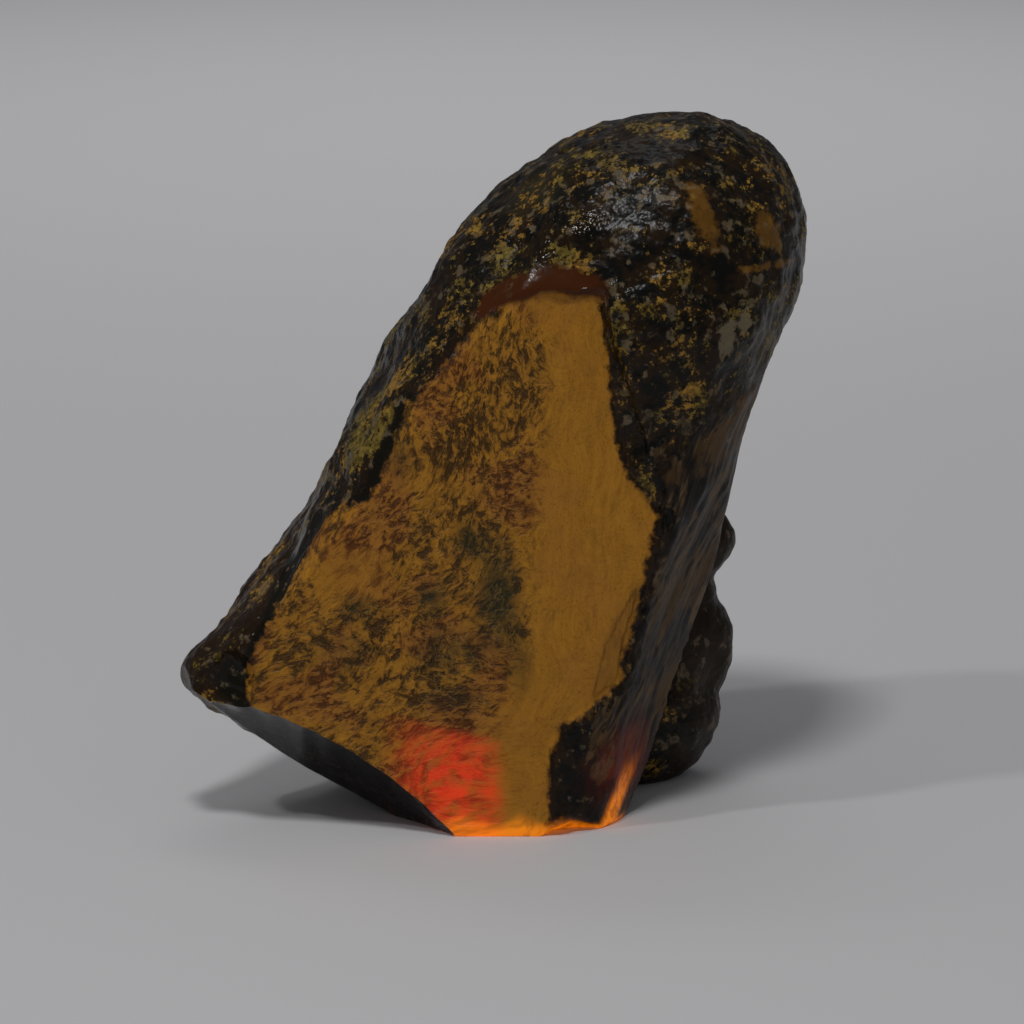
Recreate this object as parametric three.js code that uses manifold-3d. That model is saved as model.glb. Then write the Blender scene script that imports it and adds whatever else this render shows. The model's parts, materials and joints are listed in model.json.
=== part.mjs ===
// Raw amber: one lump of fossil resin, as dug. It leans to +X under a rounded dome and has a long flat natural
// window on its front, under a hood. A broad hollowed flank lies to the right of the window, with a sharp ridge
// and folds of resin that ran down behind it. A beak sticks out low on the left, and the lower front edge has
// glassy breaks. It stands on a small flat patch.
//
// Millimetres, +Z up. The window faces -Y, +X is to its right. The shape is drawn about the middle of the
// window, then moved so that the origin is under the middle of its bounding box, at the height of the patch.
import * as THREE from "three";
import { mergeVertices } from "three/addons/utils/BufferGeometryUtils.js";
import Module from "manifold-3d";

const wasm = await Module();
wasm.setup();

// Driving dimensions
const HEIGHT = 88.8; // top of the dome above the flat patch
const SHOULDER = 60; // where the dome starts to close
const DOME_ROUNDING = 2.25; // 2 would be an ellipse, more is squarer
const BELOW_PATCH = 6; // the blank reaches this far below the patch before it is cut
const AROUND = 60; // faces around the blank
const UP = 46; // faces from its top to its bottom
const DOME_SHARE = 0.36; // share of those that the dome takes
const WINDOW_FRONT = -20; // depth of the window at the height of the patch
const WINDOW_LEAN = 1.5; // degrees that the window leans back
const WINDOW_TOP = 69; // height of the hood's lower edge
const FLANK_RADIUS = 130; // the flank is hollowed this gently
const GROOVE_RADIUS = 3; // the groove between the ridge and the folds
const FAR = 200; // size of a cutting block, larger than the lump
const DRAWN_MIDDLE = new THREE.Vector3(0.16, 1.17, 0); // middle of the bounding box, as drawn
const UPWARDS = new THREE.Vector3(0, 0, 1);

const at = (x, y, z) => new THREE.Vector3(x, y, z);
const ball = (radius) => at(radius, radius, radius);
const signedPower = (value, power) => Math.sign(value) * Math.pow(Math.abs(value), power);

// A smooth value of height, through [height, value] pairs.
function through(...pairs) {
  const heights = pairs.map(([z]) => z);
  const values = pairs.map(([, value]) => value);
  const spline = new THREE.CubicInterpolant(heights, values, 1);
  return (z) => spline.evaluate(z)[0];
}

// The blank's outline, seen from the front: x of its left and right edge at each height. Above the shoulder
// the edges go on as if there were no dome.
const leftEdge = through(
  [-6, -4], [0, -14], [6, -25.6], [12, -32.6], [16, -36.6], [18.6, -39.8], [20.8, -39.2],
  [27, -33.8], [34, -26.9], [41, -22.1], [48, -18.4], [58, -13.9], [66, -9.3], [74, -5.9], [88.8, -1],
);
const rightEdge = through(
  [-6, 15], [0, 18], [9, 21.5], [19, 24.8], [30, 28.5], [40, 30.4], [48, 32.2],
  [55, 35], [60, 37], [66, 39.9], [74, 42.3], [88.8, 47.4],
);
// Depth (y) of those two edges, and how far the front and the back stand off the line between them.
const leftDepth = through([-6, 0], [6, -4], [18.6, -13], [34, -4], [45, 0], [88.8, 2]);
const rightDepth = through([-6, 0], [30, 2], [88.8, 3]);
const frontReach = through([-6, 21], [19, 20.5], [40, 23], [60, 24], [88.8, 21]);
const backReach = through([-6, 12], [19, 19], [40, 22], [60, 21], [88.8, 19]);
// How square the section is: 1 is a diamond, 2 an ellipse, more is squarer.
const leftRounding = through([-6, 2], [18.6, 1.5], [32, 2.5], [41, 3.2], [58, 2.7], [70, 2.4], [88.8, 2]);
const rightRounding = through([-6, 3.2], [30, 3.2], [48, 2.6], [58, 2.3], [88.8, 2.2]);

// How far the dome has closed at a height: 1 below the shoulder, 0 at the top.
function domeShare(z) {
  const risen = Math.max(0, (z - SHOULDER) / (HEIGHT - SHOULDER));
  return Math.pow(Math.max(0, 1 - Math.pow(risen, DOME_ROUNDING)), 1 / DOME_ROUNDING);
}

// Height of the blank's surface for t from 0, the top, to 1, the bottom.
function heightAt(t) {
  if (t < DOME_SHARE) {
    const turn = (Math.PI / 2) * (1 - t / DOME_SHARE);
    return SHOULDER + (HEIGHT - SHOULDER) * Math.pow(Math.sin(turn), 2 / DOME_ROUNDING);
  }
  return SHOULDER - ((t - DOME_SHARE) / (1 - DOME_SHARE)) * (SHOULDER + BELOW_PATCH);
}

// Slow swells of the grown surface, in millimetres out of it.
function swell(x, y, z) {
  const long = 0.5 * Math.sin(x / 7 + z / 10) * Math.sin(y / 6.5 - z / 12);
  const short = 0.25 * Math.sin(z / 5 + x / 9) * Math.cos(y / 4.6 + 1.3);
  return long + short;
}

// A closed geometry as a manifold-3d solid.
function solid(geometry) {
  const bare = geometry.clone();
  bare.deleteAttribute("normal");
  bare.deleteAttribute("uv");
  const merged = mergeVertices(bare, 1e-4);
  const vertProperties = new Float32Array(merged.attributes.position.array);
  const triVerts = new Uint32Array(merged.index.array);
  return new wasm.Manifold(new wasm.Mesh({ numProp: 3, vertProperties, triVerts }));
}

// The grown lump before anything broke off: a sphere whose rings take the outline's sections.
function blank() {
  const sphere = new THREE.SphereGeometry(1, AROUND, UP);
  sphere.rotateX(Math.PI / 2);
  const spots = sphere.attributes.position;
  const spot = new THREE.Vector3();
  for (let i = 0; i < spots.count; i++) {
    spot.fromBufferAttribute(spots, i).normalize();
    const t = Math.acos(THREE.MathUtils.clamp(spot.z, -1, 1)) / Math.PI;
    const turn = Math.atan2(spot.y, spot.x);
    const z = heightAt(t);
    const closing = t > 0.999 ? 0 : domeShare(z);
    const rounding = THREE.MathUtils.lerp(leftRounding(z), rightRounding(z), (1 + Math.cos(turn)) / 2);
    const across = signedPower(Math.cos(turn), 2 / rounding);
    const out = signedPower(Math.sin(turn), 2 / rounding);
    const middle = (leftEdge(z) + rightEdge(z)) / 2;
    const half = (rightEdge(z) - leftEdge(z)) / 2;
    const seam = THREE.MathUtils.lerp(leftDepth(z), rightDepth(z), (1 + across * closing) / 2);
    const x = middle + half * across * closing;
    const y = seam + closing * out * (out < 0 ? frontReach(z) : backReach(z));
    const lift = swell(x, y, z) * closing;
    spots.setXYZ(i, x + lift * Math.cos(turn), y + lift * Math.sin(turn), z);
  }
  return solid(sphere);
}

// A block that fills everything on the far side of a plane through a point, seen along the outward normal.
function beyond(point, normal) {
  const block = new THREE.BoxGeometry(FAR, FAR, FAR);
  block.translate(0, 0, FAR / 2);
  block.applyQuaternion(new THREE.Quaternion().setFromUnitVectors(UPWARDS, normal.clone().normalize()));
  block.translate(point.x, point.y, point.z);
  return solid(block);
}

// A sphere stretched to three radii: the shape of a fold of resin, or of the bite that a break takes.
function egg(centre, radii, faces) {
  const sphere = new THREE.SphereGeometry(1, faces, faces / 2);
  sphere.scale(radii.x, radii.y, radii.z);
  sphere.translate(centre.x, centre.y, centre.z);
  return solid(sphere);
}

// A round bar between two points.
function bar(from, to, radius, faces) {
  const along = to.clone().sub(from);
  const rod = new THREE.CylinderGeometry(radius, radius, along.length(), faces);
  rod.rotateX(Math.PI / 2);
  rod.translate(0, 0, along.length() / 2);
  rod.applyQuaternion(new THREE.Quaternion().setFromUnitVectors(UPWARDS, along.normalize()));
  rod.translate(from.x, from.y, from.z);
  return solid(rod);
}

// The window: everything in front of its plane, as far up as the hood and as far right as the crust beside it.
function windowCut() {
  const lean = THREE.MathUtils.degToRad(WINDOW_LEAN);
  const front = beyond(at(0, WINDOW_FRONT, 0), at(0, -Math.cos(lean), Math.sin(lean)));
  const underHood = beyond(at(0, WINDOW_FRONT + 1.8, WINDOW_TOP), at(0, -0.6, -0.8));
  const leftOfCrust = beyond(at(17.5, WINDOW_FRONT + 1.5, 55), at(-0.87, -0.42, -0.25));
  return front.intersect(underHood).intersect(leftOfCrust);
}

const flankNormal = at(0.866, -0.456, -0.205).normalize();
const flankMiddle = at(21, -10, 20);
const flank = egg(flankMiddle.clone().addScaledVector(flankNormal, FLANK_RADIUS), ball(FLANK_RADIUS), 160);
const groove = bar(at(16.4, -5.4, -3), at(30.4, 4, 32.5), GROOVE_RADIUS, 20);
const beakEnd = beyond(at(-39.6, -14, 17), at(-0.93, -0.35, -0.1));
const patch = beyond(at(0, 0, 0), at(0, 0, -1));
const folds = [
  egg(at(21.6, 10, 31.2), at(10.9, 7.4, 6.2), 24),
  egg(at(19, 10, 24.5), at(11.2, 7, 6), 22),
  egg(at(12, 10, 17), at(20.1, 9.8, 15.5), 36),
  egg(at(12.6, 8.6, 9), at(18.1, 10.2, 12.4), 32),
];
const bites = [
  egg(at(-48.3, -50, -37.9), ball(64.9), 110),
  egg(at(-33.4, -20.4, 20.5), ball(4), 20),
  egg(at(11.5, -21, -3.5), ball(6.2), 24),
  egg(at(20.5, -13, -3), ball(4.8), 20),
];

let lump = blank().subtract(windowCut()).subtract(flank).subtract(groove);
for (const fold of folds) lump = lump.add(fold);
for (const bite of bites) lump = lump.subtract(bite);
lump = lump.subtract(beakEnd).subtract(patch);

const mesh = lump.getMesh();
const geometry = new THREE.BufferGeometry();
geometry.setAttribute("position", new THREE.BufferAttribute(new Float32Array(mesh.vertProperties), 3));
geometry.setIndex(new THREE.BufferAttribute(new Uint32Array(mesh.triVerts), 1));
geometry.translate(-DRAWN_MIDDLE.x, -DRAWN_MIDDLE.y, 0);
geometry.computeVertexNormals();

const resin = new THREE.MeshStandardMaterial({ color: 0x3a2a16, roughness: 0.35, metalness: 0 });
const amber = new THREE.Mesh(geometry, resin);
amber.name = "amber_lump";

const group = new THREE.Group();
group.add(amber);

export default group;
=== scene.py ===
"""Raw amber piece: the finish of one standing lump of fossil resin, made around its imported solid.

Metres, +Z up. The window faces -Y, +X is to its right. Places on the lump are written in millimetres.
"""
import json
import math

import bpy
import numpy as np
from mathutils import Euler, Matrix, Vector, kdtree
from mathutils import noise as smooth_noise

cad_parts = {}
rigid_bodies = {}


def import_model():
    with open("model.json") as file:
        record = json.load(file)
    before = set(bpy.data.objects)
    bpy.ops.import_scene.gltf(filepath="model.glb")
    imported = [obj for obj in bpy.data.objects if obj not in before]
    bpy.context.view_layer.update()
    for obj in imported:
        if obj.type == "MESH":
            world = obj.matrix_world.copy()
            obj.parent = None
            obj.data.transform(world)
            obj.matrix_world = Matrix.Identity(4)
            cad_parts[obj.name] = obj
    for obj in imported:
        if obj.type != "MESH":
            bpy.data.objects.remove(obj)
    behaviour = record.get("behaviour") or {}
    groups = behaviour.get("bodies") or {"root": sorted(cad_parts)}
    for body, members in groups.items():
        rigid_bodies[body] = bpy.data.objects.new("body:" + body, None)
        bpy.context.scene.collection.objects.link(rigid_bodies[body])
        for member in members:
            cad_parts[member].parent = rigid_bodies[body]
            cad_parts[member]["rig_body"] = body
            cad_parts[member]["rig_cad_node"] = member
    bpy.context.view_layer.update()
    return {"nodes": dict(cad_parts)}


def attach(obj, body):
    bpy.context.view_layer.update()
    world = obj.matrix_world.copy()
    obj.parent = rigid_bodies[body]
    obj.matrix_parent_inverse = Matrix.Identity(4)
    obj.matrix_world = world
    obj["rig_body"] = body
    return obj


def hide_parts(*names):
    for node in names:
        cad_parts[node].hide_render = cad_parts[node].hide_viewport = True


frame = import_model()

MM = 0.001
NODE = "amber_lump"

# The lump's mesh
VOXEL = 0.5 * MM
SOFTENING = 4  # rounds of smoothing, which take the solid's flat faces away
SHARP_EDGE = 50  # degrees
BREAK_FADE = (0, 1.6)  # how near a break the relief fades out, in millimetres
FLOOR_FADE = (0.6, 2.4)  # and how near the floor

# The resin
AMBER_IOR = 1.54
GLOW = 0.66  # of the thin resin that takes the light

# The view
AIM = Vector((2.54, -2.57, 37.9)) * MM
DISTANCE = 560 * MM
ELEVATION = 13  # degrees
LENS = 153  # millimetres
SENSOR = 36

# The window's outline on its plane, (x, z) in millimetres, from the foot of its left edge upwards
WINDOW_OUTLINE = [
    (-31.2, 17.6), (-30.3, 23), (-28.8, 25.6), (-25.9, 31.6), (-24.1, 35.1), (-20.3, 41.2),
    (-15.3, 43.3), (-14.4, 45), (-13.3, 48.3), (-11.4, 52.1), (-10.2, 55.4), (-7.6, 57.9),
    (-4.5, 62.2), (-1.4, 65.4), (1.5, 67.6), (7.2, 69.6), (13.2, 68.9), (14, 62.4),
    (14.7, 56.1), (15.3, 51.1), (17.2, 46), (20.6, 41.6), (19.3, 36), (18.6, 30.5),
    (17, 25.2), (16.2, 19.9), (12.3, 16.5), (8.6, 14), (7.3, 10), (7, 4.6),
    (7.4, -2), (-9, -2), (-22, 8),
]
LEFT_EDGE = WINDOW_OUTLINE[:11]
WINDOW_PLANE = -21.17  # y of the window at the floor

# The regions of Places that the skin reads as they are
REGIONS = (
    "band", "folds", "beak", "busy", "cloud", "dirt", "wet", "sheen", "patches", "flakes", "red",
    "ember", "hood",
)


# ---------------------------------------------------------------- picking places on the lump

def ease(low, high, value):
    """0 below low, 1 above high, with a soft start and end. low may be above high."""
    share = np.clip((value - low) / (high - low), 0, 1)
    return share * share * (3 - 2 * share)


def spot(places, centre, radii, soft=0.5):
    """1 in the middle of a stretched ball, falling to 0 over the outer part, soft of its radius."""
    away = np.linalg.norm((places - np.array(centre)) / np.array(radii), axis=1)
    return ease(1, 1 - soft, away)


def along(value, *pairs):
    """A value that runs straight between (place, value) pairs."""
    return np.interp(value, [pair[0] for pair in pairs], [pair[1] for pair in pairs])


def gap_to(x, z, start, end):
    """How far each place is from the straight stretch between two points, in millimetres."""
    (ax, az), (bx, bz) = start, end
    dx, dz = bx - ax, bz - az
    share = np.clip(((x - ax) * dx + (z - az) * dz) / (dx * dx + dz * dz), 0, 1)
    return np.hypot(x - ax - share * dx, z - az - share * dz)


def inside_distance(x, z, outline):
    """How far each place is inside an outline, in millimetres, and below 0 outside it."""
    nearest = np.full(len(x), np.inf)
    inside = np.zeros(len(x), bool)
    for start, end in zip(outline, outline[1:] + outline[:1]):
        nearest = np.minimum(nearest, gap_to(x, z, start, end))
        (ax, az), (bx, bz) = start, end
        if az != bz:
            inside ^= ((az > z) != (bz > z)) & (x < ax + (z - az) * (bx - ax) / (bz - az))
    return np.where(inside, nearest, -nearest)


def slow_noise(places, size, seed, rounds=2):
    """A noise about 0 at each place, with lumps of about size millimetres."""
    shift = np.array((3.7, 5.1, 9.3)) * seed
    fall_off, finer = 0.8, 2.0
    spots = (places / size + shift).tolist()
    return np.array([smooth_noise.fractal(spot_at, fall_off, finer, rounds) for spot_at in spots])


def pushed_about(places, size, reach, seed):
    """The places, each moved by up to about reach by a slow noise."""
    push = [slow_noise(places, size, seed + axis, 1) for axis in range(3)]
    return places + reach * np.stack(push, axis=1)


class Places:
    """Where each point of a mesh is, in millimetres, which way it faces, and the regions it lies in."""

    def __init__(self, mesh):
        count = len(mesh.vertices)
        spots = np.empty(count * 3)
        mesh.vertices.foreach_get("co", spots)
        facing = np.empty(count * 3)
        mesh.vertices.foreach_get("normal", facing)
        self.at = spots.reshape(-1, 3) / MM
        self.facing = facing.reshape(-1, 3)
        self.x, self.y, self.z = self.at.T

    def sum_of(self, base, *spots_and_shares):
        """A value from 0 to 1: base, and shares added over stretched balls, each (share, centre, radii)."""
        total = np.full(len(self.x), float(base))
        for share, centre, radii in spots_and_shares:
            total += share * spot(self.at, centre, radii, 0.85)
        return np.clip(total, 0, 1)

    def edge(self):
        """Distance inside the window's outline; far outside it on all that doesn't face the front."""
        distance = inside_distance(self.x, self.z, WINDOW_OUTLINE)
        front = ease(-0.05, -0.35, self.facing[:, 1]) * ease(-8, -13, self.y)
        return distance * front - 20 * (1 - front)

    def band(self):
        """The black band along the window's left edge, partly glassy resin and partly painted shade at the
        step from the rind into the window, and the beak's chip of black glassy resin: 1 in the middle.
        """
        reach = along(
            self.z, (16, 1), (26, 1.6), (38, 1.8), (42, 1.5), (47, 1.7), (52, 1.9), (64, 2), (70, 1.2),
        )
        stretches = zip(LEFT_EDGE, LEFT_EDGE[1:])
        gap = np.minimum.reduce([gap_to(self.x, self.z, start, end) for start, end in stretches])
        chip = spot(self.at, (-31, -19, 19.5), (5.4, 7, 4.6), 0.5)
        return np.maximum(ease(reach, reach * 0.4, gap) * ease(-8, -13, self.y), chip)

    def flank(self):
        """The hollowed flank right of the window, in front of the ridge."""
        ridge = along(self.z, (0, -8.5), (5, -7), (30, -0.5), (45, 4))
        faces_right = ease(0.3, 0.55, self.facing[:, 0] - 0.2 * self.facing[:, 2])
        slanted_z = self.z - 0.5 * (self.x - 24) + 3 * slow_noise(self.at, 5, 25)
        low = ease(60, 44, slanted_z) * ease(3.5, 9, self.z)
        return faces_right * low * ease(ridge + 1.2, ridge - 0.2, self.y) * ease(8, 13, self.x)

    def folds(self):
        """The folds of resin behind the ridge."""
        return ease(16, 20, self.x) * ease(-1, 3, self.y) * ease(40, 36, self.z)

    def beak(self):
        return ease(-23, -29, self.x - 0.35 * (self.z - 20)) * ease(42, 34, self.z)

    def busy(self):
        """How mottled the window's resin is: its right side is plain."""
        plain_from = along(
            self.z, (8, -1), (18, 1), (25.6, 5), (36, 4.5), (50, 6), (62, 8), (67, 4), (70, 4),
        )
        left_side = ease(3, -3.5, self.x - plain_from)
        y = WINDOW_PLANE
        density = self.sum_of(
            0.62,
            (-0.5, (-18, y, 34), (9, 9, 6)), (-0.4, (-3, y, 63), (6, 9, 5)),
            (0.35, (-5, y, 55), (6, 9, 10)), (0.3, (-12, y, 25), (12, 9, 5)),
            (0.4, (-4, y, 20), (8, 9, 6)), (0.25, (-26, y, 22), (7, 9, 5)),
            (-0.3, (-12, y, 12), (6, 9, 3)), (0.25, (1, y, 45), (5, 9, 9)),
        )
        return 0.06 + 0.94 * left_side * density

    def cloud(self):
        """Grey-green clouds in the window."""
        y = WINDOW_PLANE
        return self.sum_of(
            0,
            (0.9, (0.8, y, 31), (4.2, 9, 11)), (0.7, (-2.8, y, 38), (3.4, 9, 4)),
            (0.7, (-7.6, y, 30.6), (3.2, 9, 3.6)), (0.6, (-16.4, y, 29.6), (3.4, 9, 2.6)),
            (0.5, (-11.6, y, 49), (2.8, 9, 5)), (0.6, (-5.5, y, 24), (7, 9, 5)),
            (0.5, (3.6, y, 23), (2.6, 9, 7)), (0.35, (-19, y, 24), (6, 9, 4)),
            (0.5, (-4.5, y, 18), (6, 9, 3)),
        )

    def dirt(self):
        """How thick the ochre dirt lies on the rind."""
        spread = self.sum_of(
            0.32,
            (-1, (7.5, -16, 77.2), (6, 8, 3)), (0.6, (11, -14, 82), (6, 7, 2)),
            (0.45, (1.5, -12, 76), (4.5, 8, 6)), (0.55, (10.5, -18, 73.6), (7, 6, 2.2)),
            (0.3, (19, -3, 87.6), (5, 8, 3)), (0.45, (16.8, -19, 57), (2.6, 7, 9)),
            (-0.7, (18, -16, 77), (6, 8, 6)), (-0.5, (24, -18, 72), (6, 8, 4)),
            (-0.5, (30, -15, 70), (6, 8, 4.5)), (-0.3, (26, -18, 58), (6, 8, 9)),
            (0.8, (-14, -14, 52), (7, 8, 12)), (0.3, (-4, -14, 66), (5, 8, 6)),
            (-0.5, (5, -10, 84), (8, 8, 2.6)), (-0.6, (14, -16, 6), (10, 8, 14)),
            (0.4, (18.5, -20, 46), (3, 6, 4)), (-0.5, (21, -17, 30), (5, 8, 12)),
        )
        clumps, grains = slow_noise(self.at, 5.5, 11), slow_noise(self.at, 2.4, 15, 1)
        spread = spread + 1.15 * clumps + 0.45 * grains - 0.05
        by_tooth = spot(self.at, (12, -18, 7), (9, 8, 11), 0.7)
        return spread - 0.8 * self.folds() - 0.35 * self.flank() - 1.2 * by_tooth

    def wet(self):
        """Where the rind is glossiest: the swelling over the hood, and a little elsewhere."""
        return self.sum_of(
            0.08,
            (1.6, (7, -16, 77), (8.5, 9, 5.5)), (0.5, (15, -19, 69), (4, 8, 4)),
            (0.9, (-30, -19, 24), (7, 8, 7)), (0.35, (19, -19, 46), (4, 8, 10)),
            (0.3, (-18, -16, 47), (6, 8, 12)),
        )

    def sheen(self):
        """Where the rind is smooth, with a painted sheen: its olive-grey colour stands for a reflection."""
        return self.sum_of(
            0,
            (0.9, (3, -9, 82), (9, 8, 6)), (0.5, (34, -14, 60), (5, 9, 9)), (0.5, (26, -6, 47), (5, 9, 6)),
        )

    def patches(self):
        """Butterscotch resin that shows through the dome."""
        lean_x = self.x + 0.3 * (self.z - 79)
        left_one = ease(1, 0.2, np.hypot((lean_x - 26) / 2.3, (self.z - 78.6) / 6.4))
        right_one = ease(1, 0.2, np.hypot((lean_x - 33.6) / 2.4, (self.z - 76) / 4.4))
        scar_z = 71.9 - 0.05 * (self.x - 34)
        scar = ease(0.8, 0.1, np.abs(self.z - scar_z)) * ease(29.5, 32, self.x)
        return np.maximum(np.maximum(left_one, right_one), 0.75 * scar) * ease(-5, -8, self.y)

    def flakes(self):
        """Grey-white flakes on the dome's right side."""
        wide = spot(self.at, (29.3, -19, 63.6), (1.9, 6, 3.2), 0.8)
        narrow = spot(self.at, (31.4, -17.8, 65.6), (1.3, 6, 2.8), 0.8)
        return np.maximum(wide, narrow)

    def red(self):
        """Painted glow of light shining through clear red resin low in the window, with a straight upper
        edge where that light ends.
        """
        top = 15.8 - 0.24 * (self.x + 12)
        sides = ease(-15, -5.5, self.x) * ease(2.6, -1.2, self.x)
        depth = along(top - self.z, (0, 0.4), (5, 0.85), (8, 1), (12, 0.65), (16, 0.35))
        return sides * depth * ease(top + 0.5, top - 0.7, self.z) * ease(-10, -15, self.y)

    def ember(self):
        """Painted glow of light shining through clear dark red resin at the right of the foot."""
        return spot(self.at, (16, -14, 8.2), (9, 9, 8), 0.8)

    def glowing_foot(self):
        """Painted glow of light shining through thin clear orange resin along the foot and in the tooth at
        its right.
        """
        rise = along(
            self.x, (-8, 1.4), (-4, 3.4), (1, 1.8), (3.5, 3.6), (7, 2), (9, 3), (12, 1.2), (14, 1),
        )
        rim = ease(rise, rise * 0.25, self.z) * ease(-10, -6, self.x) * ease(-10, -15, self.y)
        lean_x = self.x - 0.42 * (self.z - 2)
        tooth = ease(1.5, 0.4, np.abs(lean_x - 15.4)) * ease(9.5, 2, self.z) * ease(-8, -11, self.y)
        return np.maximum(rim, tooth)

    def hood(self):
        """The clear red-brown lip over the window."""
        lower = along(self.x, (-4, 64.4), (1, 67.2), (7, 68.8), (13, 68.6))
        upper = along(self.x, (-4, 65.8), (1, 70.2), (8, 73), (14, 71.2))
        inside = ease(lower - 0.5, lower + 0.5, self.z) * ease(upper + 1.2, upper - 0.8, self.z)
        return inside * ease(-3.5, -0.5, self.x) * ease(15.4, 12.6, self.x) * ease(-8, -14, self.y)


# ---------------------------------------------------------------- modelling helpers

def select_only(thing):
    bpy.ops.object.select_all(action="DESELECT")
    thing.select_set(True)
    bpy.context.view_layer.objects.active = thing


def apply_all(thing):
    select_only(thing)
    for modifier in list(thing.modifiers):
        bpy.ops.object.modifier_apply(modifier=modifier.name)


def weigh(thing, name, weights):
    """A vertex group with one weight for each point."""
    group = thing.vertex_groups.new(name=name)
    for index in np.nonzero(weights > 0.004)[0]:
        group.add([int(index)], float(weights[index]), "REPLACE")


def raise_relief(thing, name, group, height, kind, grain, turn=(0, 0, 0), middle=0.5, **settings):
    """Moves a region in and out by a texture. grain is the texture's size along its three axes, in mm."""
    texture = bpy.data.textures.new(name, kind)
    texture.noise_scale = 1
    for key, value in settings.items():
        setattr(texture, key, value)
    bpy.ops.object.empty_add(rotation=[math.radians(angle) for angle in turn])
    ruler = bpy.context.object
    ruler.scale = [size * MM for size in grain]
    bpy.context.view_layer.update()
    modifier = thing.modifiers.new(name, "DISPLACE")
    modifier.texture = texture
    modifier.texture_coords = "OBJECT"
    modifier.texture_coords_object = ruler
    modifier.vertex_group = group
    modifier.mid_level = middle
    modifier.strength = height * MM
    select_only(thing)
    bpy.ops.object.modifier_apply(modifier=modifier.name)
    bpy.data.objects.remove(ruler)


# ---------------------------------------------------------------- the lump

def rough_lump():
    """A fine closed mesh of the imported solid."""
    lump = frame["nodes"][NODE].copy()
    lump.data = lump.data.copy()
    lump.parent = None
    lump.name = "amber_piece"
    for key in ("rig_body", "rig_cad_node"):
        del lump[key]
    bpy.context.collection.objects.link(lump)
    lump.data.materials.clear()
    select_only(lump)
    bpy.ops.object.mode_set(mode="EDIT")
    bpy.ops.mesh.select_all(action="SELECT")
    bpy.ops.mesh.remove_doubles(threshold=1e-6)
    bpy.ops.object.mode_set(mode="OBJECT")
    remesh = lump.modifiers.new("fine", "REMESH")
    remesh.mode = "VOXEL"
    remesh.voxel_size = VOXEL
    smooth = lump.modifiers.new("soften", "SMOOTH")
    smooth.factor = 0.5
    smooth.iterations = SOFTENING
    apply_all(lump)
    return lump


def away_from_breaks(mesh):
    """How far each point is from the breaks, in millimetres. Their materials come after the skin."""
    broken = {index for face in mesh.polygons if face.material_index > 0 for index in face.vertices}
    tree = kdtree.KDTree(len(broken))
    for index in broken:
        tree.insert(mesh.vertices[index].co, index)
    tree.balance()
    return np.array([tree.find(vertex.co)[2] for vertex in mesh.vertices]) / MM


def weather(lump):
    """The relief of each region: rind, window, flank and folds. It fades out at the breaks."""
    places = Places(lump.data)
    edge = places.edge()
    window = ease(-0.9, 0.3, edge)
    flank = places.flank() * (1 - window)
    folds = places.folds() * (1 - flank)
    standing = ease(*FLOOR_FADE, places.z) * ease(*BREAK_FADE, away_from_breaks(lump.data))
    rind = (1 - window) * (1 - flank) * standing
    smooth_parts = np.maximum.reduce([places.band(), places.hood(), 0.7 * places.sheen(), 0.6 * folds])
    coarse = rind * (1 - 0.85 * smooth_parts)
    lip = ease(-5, -0.6, edge) * ease(4, 9, places.x) * (1 - window) * standing
    weigh(lump, "rind", rind)
    weigh(lump, "coarse", coarse)
    weigh(lump, "lip", lip * (1 - places.hood()))
    weigh(lump, "window", window * standing)
    weigh(lump, "flank", flank * standing)
    weigh(lump, "folds", folds * standing)
    weigh(lump, "recess", ease(-0.6, 0.5, edge) * standing)
    weigh(lump, "bulge", spot(places.at, (8, -16, 76.6), (7, 9, 4.5), 1))
    wrinkled = spot(places.at, (-15, WINDOW_PLANE, 10.5), (8, 9, 5.5), 0.7)
    weigh(lump, "wrinkles", window * wrinkled * standing)

    raise_relief(lump, "swells", "rind", 2.3, "CLOUDS", (10, 10, 11), noise_depth=1)
    raise_relief(lump, "bulge", "bulge", 1.3, "CLOUDS", (20, 20, 20), middle=0)
    raise_relief(lump, "lumps", "coarse", 0.8, "CLOUDS", (3.4, 3.4, 3.4), noise_depth=2)
    raise_relief(lump, "pimples", "coarse", -0.25, "VORONOI", (1.5, 1.5, 1.5))
    raise_relief(lump, "ragged_lip", "lip", 1.2, "CLOUDS", (1.3, 1.3, 1.7), middle=0.2, noise_depth=2)
    raise_relief(lump, "recess", "recess", -0.6, "CLOUDS", (9, 9, 9), middle=0)
    raise_relief(lump, "window_waves", "window", 0.55, "CLOUDS", (3.2, 6, 9), (0, 20, 0), noise_depth=2)
    raise_relief(lump, "wrinkles", "wrinkles", 1.3, "CLOUDS", (1.5, 6, 7), (0, 125, 0), noise_depth=2)
    raise_relief(lump, "flank_streaks", "flank", 0.8, "CLOUDS", (2.4, 2.4, 16), (-14, 19, 0), noise_depth=2)
    raise_relief(lump, "fold_skin", "folds", 0.6, "CLOUDS", (4, 4, 3), noise_depth=3)
    lump.vertex_groups.clear()


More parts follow.
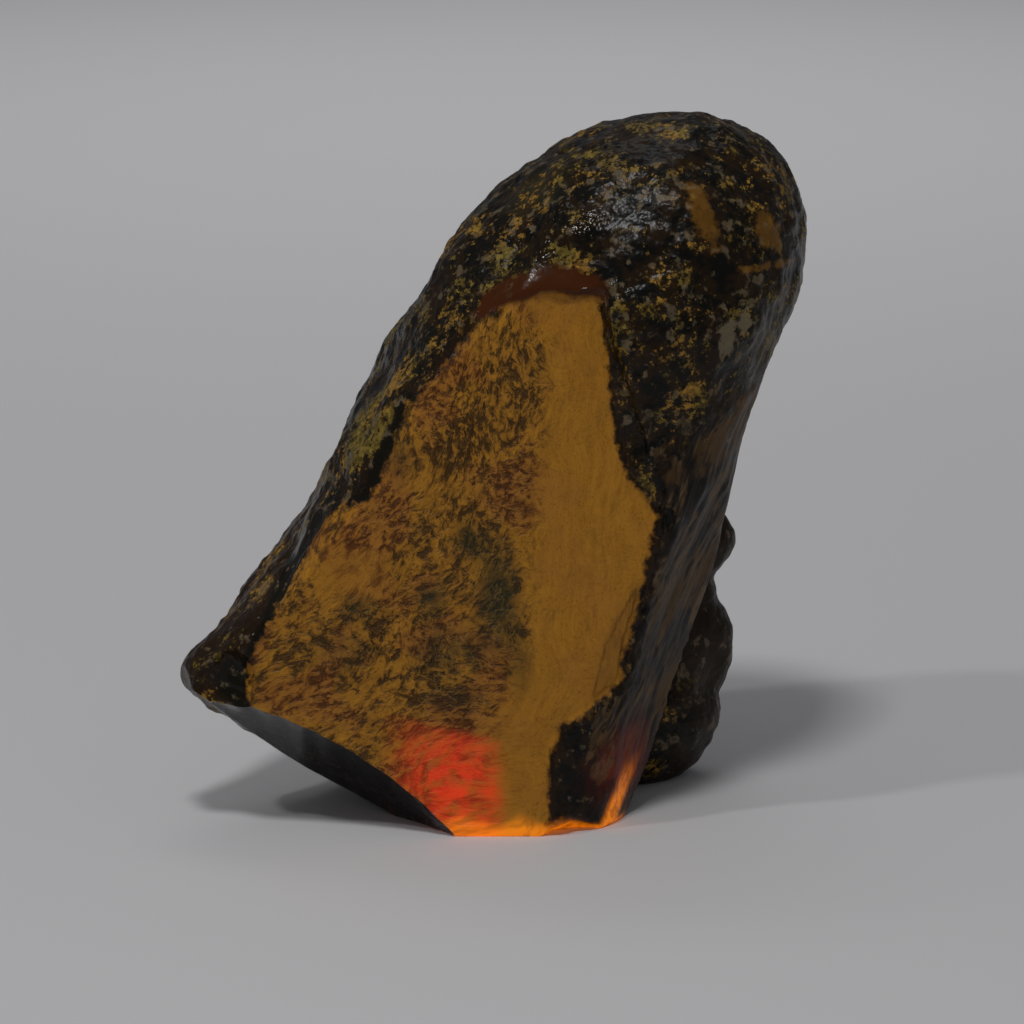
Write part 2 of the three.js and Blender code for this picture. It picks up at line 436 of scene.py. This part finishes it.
def break_block(name, middle, outward, dish, width, faces, ripples, material):
    """A cutting block whose inner face is a shallow dish with the ripples of a glassy break.

    middle and outward place it, and dish is the dish's radius, in millimetres. ripples is their
    (height, spacing, x and y of their start).
    """
    bpy.ops.mesh.primitive_grid_add(x_subdivisions=faces, y_subdivisions=faces, size=width * MM)
    block = bpy.context.object
    block.name = name
    height, spacing, start_x, start_y = ripples
    for vertex in block.data.vertices:
        x, y = vertex.co.x / MM, vertex.co.y / MM
        from_start = math.hypot(x - start_x, y - start_y)
        wave = math.sin(2 * math.pi * from_start / spacing + math.sin(0.35 * x) + math.cos(0.3 * y))
        fade = math.exp(-from_start / width)
        rise = dish - math.sqrt(max(dish * dish - x * x - y * y, 0))
        vertex.co.z = (rise + height * wave * fade) * MM
    bpy.ops.object.mode_set(mode="EDIT")
    bpy.ops.mesh.select_all(action="SELECT")
    bpy.ops.mesh.extrude_region_move(TRANSFORM_OT_translate={"value": (0, 0, width * MM)})
    bpy.ops.mesh.select_all(action="SELECT")
    bpy.ops.mesh.normals_make_consistent(inside=False)
    bpy.ops.object.mode_set(mode="OBJECT")
    block.rotation_euler = Vector(outward).to_track_quat("Z", "Y").to_euler()
    block.location = Vector(middle) * MM
    select_only(block)
    bpy.ops.object.transform_apply(location=True, rotation=True, scale=True)
    block.data.materials.append(material)
    return block


def cut(lump, block):
    modifier = lump.modifiers.new("cut", "BOOLEAN")
    modifier.operation = "DIFFERENCE"
    modifier.object = block
    modifier.solver = "EXACT"
    modifier.material_mode = "TRANSFER"
    select_only(lump)
    bpy.ops.object.modifier_apply(modifier=modifier.name)
    bpy.data.objects.remove(block)


def break_edges(lump, glassy, dark):
    """The breaks: the long one under the beak, the beak's end and chip, and a bite at the foot."""
    under_beak = (-24.2, -14.5, 10.4), (-0.37, -0.563, -0.74)
    at_end = (-39, -15, 19.6), (-0.93, -0.35, -0.1)
    at_chip = (-32.9, -18, 20.5), (-0.3, -0.93, -0.2)
    at_foot = (11.4, -19.6, 1), (0.15, -0.75, -0.64)
    cut(lump, break_block("long_break", *under_beak, 64.9, 62, 96, (0.09, 4.6, -20, 12), glassy))
    cut(lump, break_block("beak_end", *at_end, 30, 14, 24, (0.03, 2, 3, 4), dark))
    cut(lump, break_block("beak_chip", *at_chip, 5.5, 9, 30, (0.04, 1.2, 2, 2), dark))
    cut(lump, break_block("foot_scallop", *at_foot, 7, 12.5, 40, (0.06, 1.6, 3, 3), glassy))


def hand_to_skin(lump, dark):
    """Gives the dark breaks' faces to the skin, once the relief has used them."""
    slot = lump.data.materials.find(dark.name)
    for face in lump.data.polygons:
        if face.material_index == slot:
            face.material_index = 0
    lump.data.materials.pop(index=slot)
    bpy.data.materials.remove(dark)


def keep_on_floor(lump):
    for vertex in lump.data.vertices:
        vertex.co.z = max(vertex.co.z, 0)


def note(lump, name, values):
    """One attribute that the materials read: a number, or three numbers, for each point."""
    kind = "FLOAT" if values.ndim == 1 else "FLOAT_VECTOR"
    made = lump.data.attributes.new(name, kind, "POINT")
    made.data.foreach_set("value" if values.ndim == 1 else "vector", values.astype(np.float32).ravel())


def note_regions(lump):
    """Writes the regions, and the directions of the grain, as attributes."""
    places = Places(lump.data)
    edge, flank = places.edge(), places.flank()
    for name in REGIONS:
        note(lump, name, getattr(places, name)())
    note(lump, "edge", edge)
    note(lump, "flank", flank)
    note(lump, "foot", places.glowing_foot())
    note(lump, "tone", slow_noise(places.at, 7, 21) + 0.5)
    note(lump, "mottle", slow_noise(places.at, 3.4, 31))

    # The window's grain stands up, and leans with the left edge
    lean = along(places.x, (-32, 0.62), (-8, 0.35), (4, 0.05), (20, -0.05))
    grain = np.stack([places.x - lean * (places.z - 35), places.y, places.z], axis=1)
    grain = pushed_about(grain, 9, 2.2, 41)
    note(lump, "grain", grain)

    # The flank's streaks follow the ridge
    ridge = Vector((0.356, 0.239, 0.903))
    to_ridge = np.array(ridge.rotation_difference(Vector((0, 0, 1))).to_matrix())
    streak = pushed_about(places.at, 6, 1.4, 61) @ to_ridge.T
    note(lump, "streak", streak)
    place = pushed_about(places.at, 5, 0.5, 71)
    note(lump, "place", place)

    # One vector for all the fine relief: round pimples, the window's strands, or the flank's streaks
    in_window = (ease(-0.4, 0.1, edge) * (1 - flank))[:, None]
    on_flank = ease(0.4, 0.6, flank)[:, None]
    relief = place * 1.15 * (1 - in_window) + grain * (1.9, 1.9, 1.1) * in_window
    note(lump, "relief", relief * (1 - on_flank) + streak * (1.0, 1.0, 0.13) * on_flank)
    smooth_parts = np.maximum.reduce([places.band(), places.hood(), 0.3 * places.sheen()])
    rough_parts = (0.13 + 0.27 * places.wet()) * (1 - 0.8 * smooth_parts)
    height = rough_parts * (1 - in_window[:, 0]) + 0.05 * in_window[:, 0]
    note(lump, "height", height * (1 - on_flank[:, 0]) + 0.16 * on_flank[:, 0])
    note(lump, "pits", in_window[:, 0] * (0.08 + 1.1 * places.busy()))


# ---------------------------------------------------------------- shader helpers

def plug(tree, source, socket):
    if isinstance(source, bpy.types.NodeSocket):
        tree.links.new(source, socket)
    elif socket.type == "RGBA":
        socket.default_value = (*source, 1)
    else:
        socket.default_value = source


def add_node(tree, kind, inputs=None, **settings):
    made = tree.nodes.new(kind)
    for key, value in settings.items():
        setattr(made, key, value)
    for key, source in (inputs or {}).items():
        plug(tree, source, made.inputs[key])
    return made


def attribute(tree, name, output="Fac"):
    return add_node(tree, "ShaderNodeAttribute", attribute_name=name).outputs[output]


def maths(tree, operation, first, second=0.0, third=0.0):
    return add_node(tree, "ShaderNodeMath", {0: first, 1: second, 2: third}, operation=operation).outputs[0]


def product(tree, first, second):
    return maths(tree, "MULTIPLY", first, second)


def step(tree, value, low, high):
    """Eases from 0 to 1 as a value runs from low to high."""
    inputs = {"Value": value, "From Min": low, "From Max": high}
    return add_node(tree, "ShaderNodeMapRange", inputs, interpolation_type="SMOOTHSTEP").outputs["Result"]


def mix_value(tree, share, first, second):
    return add_node(tree, "ShaderNodeMix", {0: share, 2: first, 3: second}, data_type="FLOAT").outputs[0]


def mix_colour(tree, share, first, second, how="MIX"):
    inputs = {0: share, 6: first, 7: second}
    return add_node(tree, "ShaderNodeMix", inputs, data_type="RGBA", blend_type=how).outputs[2]


def scaled(tree, vector, factors):
    return add_node(tree, "ShaderNodeVectorMath", {0: vector, 1: factors}, operation="MULTIPLY").outputs[0]


def scaled_colour(tree, colour, factor):
    return mix_colour(tree, 1.0, colour, (factor, factor, factor), "MULTIPLY")


def noise(tree, vector, scale, detail=3.0, roughness=0.55, distortion=0.0):
    inputs = {
        "Vector": vector, "Scale": scale, "Detail": detail, "Roughness": roughness,
        "Distortion": distortion,
    }
    return add_node(tree, "ShaderNodeTexNoise", inputs).outputs["Fac"]


def new_group(name, inputs, outputs):
    """A node group with named inputs and outputs, given as {name: socket type}."""
    tree = bpy.data.node_groups.new(name, "ShaderNodeTree")
    for key, kind in inputs.items():
        tree.interface.new_socket(key, in_out="INPUT", socket_type="NodeSocket" + kind)
    for key, kind in outputs.items():
        tree.interface.new_socket(key, in_out="OUTPUT", socket_type="NodeSocket" + kind)
    return tree, tree.nodes.new("NodeGroupInput").outputs, tree.nodes.new("NodeGroupOutput").inputs


def use_group(tree, group, inputs):
    made = tree.nodes.new("ShaderNodeGroup")
    made.node_tree = group
    for key, source in inputs.items():
        plug(tree, source, made.inputs[key])
    return made.outputs


# What a finish gives back
LOOK = {"Color": "Color", "Roughness": "Float"}
PITTED_LOOK = {**LOOK, "Pits": "Float"}


# ---------------------------------------------------------------- finishes

def bony_resin():
    """The window: opaque butterscotch resin, mottled with brown along its grain."""
    inputs = {"Grain": "Vector", "Busy": "Float", "Cloud": "Float", "Tone": "Float", "Mottle": "Float"}
    tree, given, result = new_group("bony_resin", inputs, PITTED_LOOK)
    busy = given["Busy"]
    drawn = scaled(tree, given["Grain"], (1, 1, 0.42))
    rounder = scaled(tree, given["Grain"], (1, 1, 0.9))
    streaks = noise(tree, scaled(tree, given["Grain"], (1, 1, 0.1)), 1.1, 3, 0.68)
    marks = noise(tree, rounder, 0.95, 3, 0.7, 0.5)
    plug(tree, marks, result["Pits"])
    dense = maths(tree, "MULTIPLY_ADD", busy, -0.12, 0.565)
    dense = maths(tree, "SUBTRACT", dense, product(tree, given["Mottle"], 0.13))
    over = maths(tree, "SUBTRACT", marks, dense)
    shown = maths(tree, "MINIMUM", product(tree, busy, 2.2), 1)
    shades = product(tree, step(tree, over, -0.13, 0.05), shown)
    blotches = product(tree, step(tree, over, -0.01, 0.13), shown)
    dust = noise(tree, rounder, 3.6, 2, 0.7)
    specks = step(tree, dust, 0.60, 0.70)
    lines = maths(tree, "ABSOLUTE", maths(tree, "SUBTRACT", noise(tree, drawn, 1.0, 2), 0.5))
    strands = product(tree, step(tree, lines, 0.03, 0.0), busy)
    wisps = noise(tree, scaled(tree, given["Grain"], (1, 1, 0.16)), 1.25, 3, 0.7)
    cloudy = product(tree, given["Cloud"], step(tree, wisps, 0.24, 0.47))

    colour = mix_colour(tree, step(tree, streaks, 0.34, 0.66), (0.32, 0.126, 0.008), (0.435, 0.186, 0.013))
    colour = mix_colour(tree, product(tree, step(tree, dust, 0.7, 0.3), 0.7), colour, (0.435, 0.200, 0.024))
    warm = step(tree, given["Tone"], 0.45, 0.85)
    colour = mix_colour(tree, product(tree, warm, maths(tree, "MULTIPLY_ADD", busy, 0.7, 0.3)), colour,
                        (0.36, 0.145, 0.022))
    colour = mix_colour(tree, product(tree, shades, 0.55), colour, mix_colour(
        tree, warm, (0.165, 0.074, 0.010), (0.20, 0.064, 0.009)))
    colour = mix_colour(tree, product(tree, blotches, 0.9), colour, mix_colour(
        tree, warm, (0.054, 0.024, 0.005), (0.082, 0.024, 0.004)))
    colour = mix_colour(tree, product(tree, specks, maths(tree, "MULTIPLY_ADD", busy, 0.5, 0.35)), colour,
                        (0.06, 0.022, 0.005))
    colour = mix_colour(tree, product(tree, cloudy, 0.97), colour, (0.018, 0.024, 0.010))
    colour = mix_colour(tree, product(tree, strands, 0.3), colour, (0.46, 0.24, 0.05))
    plug(tree, colour, result["Color"])
    plug(tree, mix_value(tree, blotches, 0.34, 0.5), result["Roughness"])
    return tree


def weathered_rind():
    """The rind: brown-black and glossy, pimpled, with ochre and olive dirt in specks and clumps, and a
    painted olive-grey sheen.
    """
    inputs = {
        "Place": "Vector", "Dirt": "Float", "Wet": "Float", "Sheen": "Float", "Warmth": "Float",
        "Tone": "Float",
    }
    tree, given, result = new_group("weathered_rind", inputs, LOOK)
    place = given["Place"]
    shade = noise(tree, place, 0.34, 2)
    clumps = noise(tree, place, 0.9, 4, 0.74)
    grain = add_node(tree, "ShaderNodeTexVoronoi", {"Vector": place, "Scale": 2.1}).outputs
    chance, lightness = add_node(tree, "ShaderNodeSeparateColor", {0: grain["Color"]}).outputs[:2]
    limit = maths(tree, "MULTIPLY_ADD", given["Dirt"], -0.16, 0.605)
    over = maths(tree, "SUBTRACT", clumps, limit)
    haze = product(tree, step(tree, over, -0.09, 0.07), 0.5)
    grains = product(tree, step(tree, maths(tree, "MULTIPLY_ADD", over, 5, chance), 0.72, 0.85),
                     step(tree, grain["Distance"], 0.62, 0.38))
    clumped = product(tree, step(tree, over, 0.045, 0.075), 0.9)
    specks = maths(tree, "MAXIMUM", clumped, product(tree, grains, 0.8))

    dark = mix_colour(tree, step(tree, shade, 0.42, 0.62), (0.0034, 0.0032, 0.0024), (0.018, 0.009, 0.003))
    # Painted sheen: olive-grey colour over the Sheen region stands for a reflection on the smooth rind
    dark = mix_colour(tree, product(tree, given["Sheen"], 0.8), dark, mix_colour(
        tree, clumps, (0.012, 0.010, 0.005), (0.085, 0.066, 0.027)))
    dark = mix_colour(tree, given["Warmth"], dark, (0.022, 0.010, 0.004))
    dirt = mix_colour(tree, step(tree, given["Tone"], 0.3, 0.75), (0.20, 0.138, 0.024), (0.34, 0.18, 0.028))
    colour = mix_colour(tree, haze, dark, (0.050, 0.028, 0.005))
    dirt = mix_colour(tree, lightness, scaled_colour(tree, dirt, 0.35), scaled_colour(tree, dirt, 1.25))
    colour = mix_colour(tree, specks, colour, dirt)
    plug(tree, colour, result["Color"])
    gloss = mix_value(tree, given["Wet"], 0.3, 0.08)
    plug(tree, mix_value(tree, specks, gloss, 0.45), result["Roughness"])
    return tree


def drawn_resin():
    """The flank: satin grey-brown resin with long streaks, the lighter streaks partly a painted sheen."""
    tree, given, result = new_group("drawn_resin", {"Streak": "Vector", "Tone": "Float"}, LOOK)
    streaks = noise(tree, scaled(tree, given["Streak"], (1, 1, 0.24)), 0.5, 3, 0.7)
    lines = noise(tree, scaled(tree, given["Streak"], (1, 1, 0.25)), 0.9, 2, 0.6)
    # The lighter grey-brown streaks are partly the resin's own colour and partly a painted sheen along the
    # flank
    worn_and_sheen = step(tree, streaks, 0.45, 0.63)
    colour = mix_colour(tree, worn_and_sheen, (0.007, 0.004, 0.002), (0.150, 0.092, 0.044))
    warm = step(tree, given["Tone"], 0.45, 0.8)
    colour = mix_colour(tree, product(tree, warm, 0.65), colour, (0.10, 0.050, 0.012))
    colour = mix_colour(tree, step(tree, lines, 0.53, 0.68), colour, (0.016, 0.011, 0.008))
    plug(tree, colour, result["Color"])
    plug(tree, mix_value(tree, worn_and_sheen, 0.42, 0.6), result["Roughness"])
    return tree


def lay_over(tree, share, below, above):
    """One look over another, each a (colour, roughness)."""
    return mix_colour(tree, share, below[0], above[0]), mix_value(tree, share, below[1], above[1])


def as_look(outputs):
    return outputs["Color"], outputs["Roughness"]


def resin_skin():
    """The skin of the lump: rind, window, flank, folds, and the painted glow where light shines through
    clear resin.
    """
    material = bpy.data.materials.new("resin_skin")
    material.use_nodes = True
    tree = material.node_tree
    shader = tree.nodes["Principled BSDF"]
    names = (*REGIONS, "edge", "flank", "foot", "tone", "mottle", "height", "pits")
    noted = {name: attribute(tree, name) for name in names}
    grain = attribute(tree, "grain", "Vector")
    place = attribute(tree, "place", "Vector")
    streak = attribute(tree, "streak", "Vector")
    ragged = maths(tree, "SUBTRACT", noise(tree, place, 0.5, 3, 0.58), 0.5)

    reach = maths(tree, "MULTIPLY_ADD", noted["hood"], -2.4, 3.4)
    ragged_edge = maths(tree, "MULTIPLY_ADD", ragged, reach, noted["edge"])

    def ragged_share(name, reach, low, high):
        """A region's share, with a ragged border."""
        return step(tree, maths(tree, "MULTIPLY_ADD", ragged, reach, noted[name]), low, high)

    rind = as_look(use_group(tree, weathered_rind(), {
        "Place": place, "Dirt": noted["dirt"], "Wet": noted["wet"], "Sheen": noted["sheen"],
        "Tone": noted["tone"], "Warmth": product(tree, noted["beak"], 0.8),
    }))
    pitted = use_group(tree, bony_resin(), {
        "Grain": grain, "Busy": noted["busy"], "Cloud": noted["cloud"], "Tone": noted["tone"],
        "Mottle": noted["mottle"],
    })
    bony = as_look(pitted)
    drawn = as_look(use_group(tree, drawn_resin(), {"Streak": streak, "Tone": noted["tone"]}))

    look = lay_over(tree, product(tree, noted["folds"], 0.7), rind, ((0.024, 0.013, 0.005), 0.45))
    look = lay_over(tree, product(tree, step(tree, ragged_edge, -1.7, -0.5), 0.8), look,
                    ((0.020, 0.009, 0.003), 0.16))
    # Partly painted shade: the black band along the window's left edge stands in part for the shadow at the
    # step into the window; the chip is black glassy resin
    look = lay_over(tree, ragged_share("band", 1.3, 0.2, 0.8), look, ((0.0075, 0.0055, 0.0025), 0.2))
    patches = product(tree, ragged_share("patches", 2.6, 0.2, 0.85), 0.85)
    look = lay_over(tree, patches, look, ((0.165, 0.074, 0.009), 0.3))
    flakes = product(tree, ragged_share("flakes", 3.4, 0.25, 0.75), 0.75)
    look = lay_over(tree, flakes, look, ((0.20, 0.165, 0.10), 0.45))
    look = lay_over(tree, ragged_share("hood", 1.4, 0.15, 0.95), look, ((0.060, 0.015, 0.0022), 0.17))
    look = lay_over(tree, ragged_share("flank", 2.6, 0.25, 0.85), look, drawn)
    look = lay_over(tree, step(tree, ragged_edge, -0.4, 0.45), look, bony)

    veins = step(tree, noise(tree, scaled(tree, grain, (1, 1, 0.35)), 1.1, 2, 0.7), 0.36, 0.62)
    red = product(tree, noted["red"], maths(tree, "MULTIPLY_ADD", veins, 0.6, 0.4))
    foot = product(tree, noted["foot"], maths(tree, "MULTIPLY_ADD", veins, 0.5, 0.5))
    ember = product(tree, noted["ember"], maths(tree, "MULTIPLY_ADD", veins, 0.6, 0.4))
    colour, roughness = look
    # Painted glow: the red patch, the dark red ember and the orange foot and tooth stand for light shining
    # through thin clear resin, laid into the base colour
    colour = mix_colour(tree, product(tree, red, 0.92), colour, (0.52, 0.045, 0.012))
    colour = mix_colour(tree, product(tree, ember, 0.85), colour, (0.060, 0.009, 0.003))
    colour = mix_colour(tree, product(tree, foot, 0.85), colour, (0.60, 0.20, 0.012))
    plug(tree, colour, shader.inputs["Base Color"])
    plug(tree, roughness, shader.inputs["Roughness"])
    # The same painted glow again as emission: light shining through thin clear resin, with no lamp behind
    # it
    glow = mix_colour(tree, red, (0, 0, 0), (0.52, 0.020, 0.004))
    glow = mix_colour(tree, 1.0, glow, mix_colour(tree, ember, (0, 0, 0), (0.05, 0.003, 0.001)), "ADD")
    glow = mix_colour(tree, 1.0, glow, mix_colour(tree, foot, (0, 0, 0), (0.76, 0.175, 0.002)), "ADD")
    plug(tree, glow, shader.inputs["Emission Color"])
    shader.inputs["Emission Strength"].default_value = GLOW
    shader.inputs["IOR"].default_value = AMBER_IOR
    shader.inputs["Specular IOR Level"].default_value = 0.15
    relief = noise(tree, attribute(tree, "relief", "Vector"), 1.0, 1, 0.5)
    hollows = maths(tree, "MINIMUM", maths(tree, "SUBTRACT", 0.6, pitted["Pits"]), 0.14)
    pits = product(tree, hollows, noted["pits"])
    height = maths(tree, "MULTIPLY_ADD", relief, noted["height"], pits)
    bump = add_node(tree, "ShaderNodeBump", {"Strength": 1.0, "Distance": MM, "Height": height})
    plug(tree, bump.outputs[0], shader.inputs["Normal"])
    return material


def clear_resin():
    """The glassy breaks: clear resin, yellow where thin and dark red where deep."""
    material = bpy.data.materials.new("clear_resin")
    material.use_nodes = True
    tree = material.node_tree
    shader = tree.nodes["Principled BSDF"]
    shader.inputs["Base Color"].default_value = (1, 1, 1, 1)
    shader.inputs["Transmission Weight"].default_value = 1
    shader.inputs["Roughness"].default_value = 0.04
    shader.inputs["IOR"].default_value = AMBER_IOR
    depth = tree.nodes.new("ShaderNodeVolumeAbsorption")
    depth.inputs["Color"].default_value = (0.967, 0.8, 0.0, 1)
    depth.inputs["Density"].default_value = 600
    tree.links.new(depth.outputs[0], tree.nodes["Material Output"].inputs["Volume"])
    return material


# ---------------------------------------------------------------- the studio

def plain_material(name, colour, roughness):
    material = bpy.data.materials.new(name)
    material.use_nodes = True
    shader = material.node_tree.nodes["Principled BSDF"]
    shader.inputs["Base Color"].default_value = (*colour, 1)
    shader.inputs["Roughness"].default_value = roughness
    shader.inputs["Specular IOR Level"].default_value = 0.1
    return material


def studio_sweep():
    """A pale floor, and a grey wall far behind it."""
    size, wall_place = 4, (0, 1.6, 1.9)
    bpy.ops.mesh.primitive_plane_add(size=size, location=(0, 0, 0))
    floor = bpy.context.object
    floor.name = "floor"
    floor.data.materials.append(plain_material("pale_floor", (0.68, 0.675, 0.685), 0.8))
    bpy.ops.mesh.primitive_plane_add(size=size, location=wall_place, rotation=(math.radians(90), 0, 0))
    wall = bpy.context.object
    wall.name = "backdrop"
    wall.data.materials.append(plain_material("grey_wall", (0.50, 0.50, 0.52), 0.9))


def soft_light(name, place, target, watts, size, spread=180):
    light = bpy.data.lights.new(name, "AREA")
    light.spread = math.radians(spread)
    light.energy = watts
    light.size = size
    lamp = bpy.data.objects.new(name, light)
    lamp.location = place
    lamp.rotation_euler = (Vector(target) - Vector(place)).to_track_quat("-Z", "Y").to_euler()
    bpy.context.collection.objects.link(lamp)


def light_studio():
    world = bpy.data.worlds.new("soft_room")
    world.use_nodes = True
    background = world.node_tree.nodes["Background"]
    background.inputs["Color"].default_value = (0.96, 0.97, 1, 1)
    background.inputs["Strength"].default_value = 0.16
    bpy.context.scene.world = world
    bpy.context.scene.view_settings.view_transform = "Standard"
    soft_light("key", (-0.06, -0.36, 0.73), AIM, 1.85, 0.11)
    soft_light("glints", (-0.44, -0.3, 0.67), AIM, 0.75, 0.045)
    soft_light("floor_light", (0, 0.72, 1.0), (0, 0.72, 0), 1.05, 0.7, spread=80)


def place_camera():
    lens = bpy.data.cameras.new("camera")
    lens.lens = LENS
    lens.sensor_width = SENSOR
    lens.clip_start = 0.01
    camera = bpy.data.objects.new("camera", lens)
    slope = math.radians(ELEVATION)
    camera.location = AIM + Vector((0, -math.cos(slope), math.sin(slope))) * DISTANCE
    camera.rotation_euler = Euler((math.radians(90) - slope, 0, 0))
    bpy.context.collection.objects.link(camera)
    bpy.context.scene.camera = camera


# ---------------------------------------------------------------- making it all

place_camera()
light_studio()
studio_sweep()

skin = resin_skin()
glassy = clear_resin()
lump = rough_lump()
lump.data.materials.append(skin)
dark = bpy.data.materials.new("dark_break")
break_edges(lump, glassy, dark)
weather(lump)
hand_to_skin(lump, dark)
keep_on_floor(lump)
note_regions(lump)
select_only(lump)
bpy.ops.object.shade_smooth_by_angle(angle=math.radians(SHARP_EDGE))

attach(lump, "root")
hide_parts(NODE)
